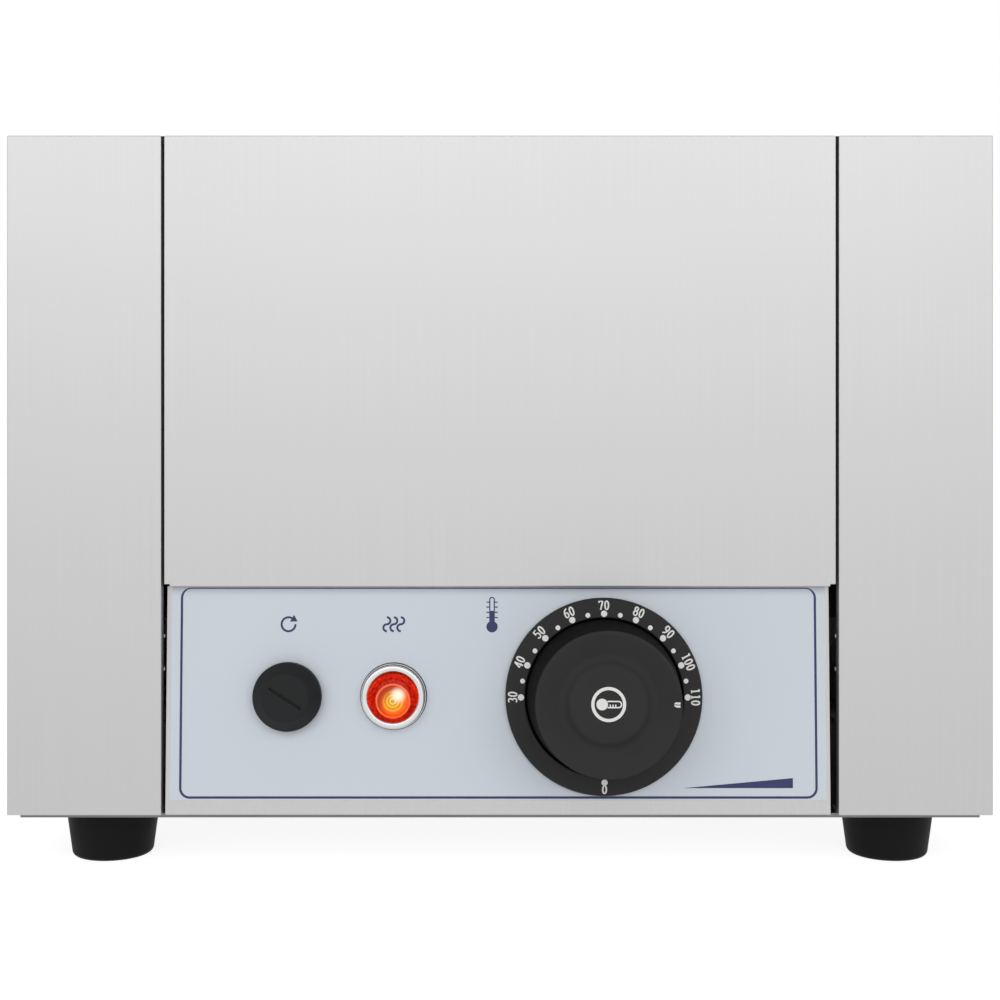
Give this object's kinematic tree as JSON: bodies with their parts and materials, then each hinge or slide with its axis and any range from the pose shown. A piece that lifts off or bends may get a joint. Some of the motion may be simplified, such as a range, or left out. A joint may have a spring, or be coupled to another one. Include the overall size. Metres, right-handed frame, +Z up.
{
  "type": "countertop wet-well food warmer",
  "caption": "Folded steel countertop box with an open rounded well on top, a recessed control strip with thermostat dial, pilot lamp and capped reset, on rubber feet.",
  "frame": {"origin": "on the floor plane that the feet stand on, under the middle of the casing", "axes": "+X to the right seen from the front, +Y from the control side to the rear, +Z up"},
  "size_m": [0.338, 0.5876, 0.252],
  "materials": {
    "brushed_stainless": "fine vertical brushing",
    "base_sheet": "plain rolled sheet",
    "black_rubber": "moulded, matt",
    "label_film": "printed film, satin",
    "black_plastic": "moulded, half gloss",
    "gland_plastic": "moulded",
    "bright_bezel": "bright plated",
    "lens_plastic": "clear red, ringed",
    "neon_glass": "clear",
    "zinc_fasteners": "zinc plated",
    "brass_parts": "plain",
    "copper_probes": "drawn copper",
    "element_sheath": "heat-tinted sheath",
    "control_cases": "moulded, heat resistant",
    "terminal_ceramic": "unglazed",
    "brown_insulation": "sleeved wire",
    "blue_insulation": "sleeved wire",
    "green_insulation": "sleeved wire"
  },
  "bodies": {
    "casing": {"side_panel_left": "brushed_stainless", "side_panel_right": "brushed_stainless", "front_apron": "brushed_stainless", "rear_panel": "brushed_stainless", "control_panel": "brushed_stainless", "tank": "brushed_stainless", "base_plate": "base_sheet", "heat_shield": "base_sheet", "foot_front_left": "black_rubber", "foot_front_right": "black_rubber", "foot_rear_left": "black_rubber", "foot_rear_right": "black_rubber", "gland_seal": "black_rubber", "control_label": "label_film", "dial_ring": "black_plastic", "gland_body": "gland_plastic", "gland_dome_nut": "gland_plastic", "gland_locknut": "gland_plastic", "lamp_bezel": "bright_bezel", "lamp_lens": "lens_plastic", "lamp_bulb": "neon_glass", "casing_screws": "zinc_fasteners", "foot_screws": "zinc_fasteners", "foot_nuts": "zinc_fasteners", "panel_screws": "zinc_fasteners", "panel_nuts": "zinc_fasteners", "clamp_studs": "zinc_fasteners", "clamp_nuts": "zinc_fasteners", "shield_studs": "zinc_fasteners", "shield_nuts": "zinc_fasteners", "thermostat_screws": "zinc_fasteners", "lamp_nut": "zinc_fasteners", "limiter_nut": "zinc_fasteners", "terminal_screws": "zinc_fasteners", "element_clamps": "zinc_fasteners", "earth_stud": "brass_parts", "earth_nut": "brass_parts", "thermostat_probe": "copper_probes", "limiter_probe": "copper_probes", "probe_clips": "copper_probes", "heating_element": "element_sheath", "thermostat_body": "control_cases", "limiter_body": "control_cases", "lamp_holder": "control_cases", "terminal_block": "terminal_ceramic", "wire_live": "brown_insulation", "wire_link": "brown_insulation", "wire_heater_live": "brown_insulation", "wire_lamp_live": "brown_insulation", "wire_heater_neutral": "blue_insulation", "wire_lamp_neutral": "blue_insulation", "wire_earth": "green_insulation"},
    "knob": {"control_knob": "black_plastic", "knob_clip": "zinc_fasteners", "thermostat_shaft": "zinc_fasteners"},
    "reset_button": {"reset_button": "black_plastic"},
    "reset_seal": {"reset_seal": "black_rubber"},
    "reset_cap": {"reset_cap": "black_plastic"}
  },
  "joints": [
    {"name": "knob_turn", "type": "hinge", "parent": "casing", "child": "knob", "pos_m": [0.0356, -0.26763, 0.0596], "axis": [0, -0.999, 0.0436], "range_deg": [0, 270]},
    {"name": "reset_press", "type": "slide", "parent": "casing", "child": "reset_button", "axis": [0, 0.999, -0.0436], "range_m": [0, 0.002], "stiffness_N_per_m": 600},
    {"name": "reset_cap_travel", "type": "slide", "parent": "casing", "child": "reset_seal", "axis": [0, -0.999, 0.0436], "range_m": [0, 0.003]},
    {"name": "reset_cap_turn", "type": "hinge", "parent": "reset_seal", "child": "reset_cap", "pos_m": [-0.0729, -0.26763, 0.0596], "axis": [0, -0.999, 0.0436], "range_deg": [0, 1080]}
  ],
  "couplings": [
    {"joint": "reset_cap_turn", "follows": "reset_cap_travel", "rad_per_m": 6283}
  ]
}
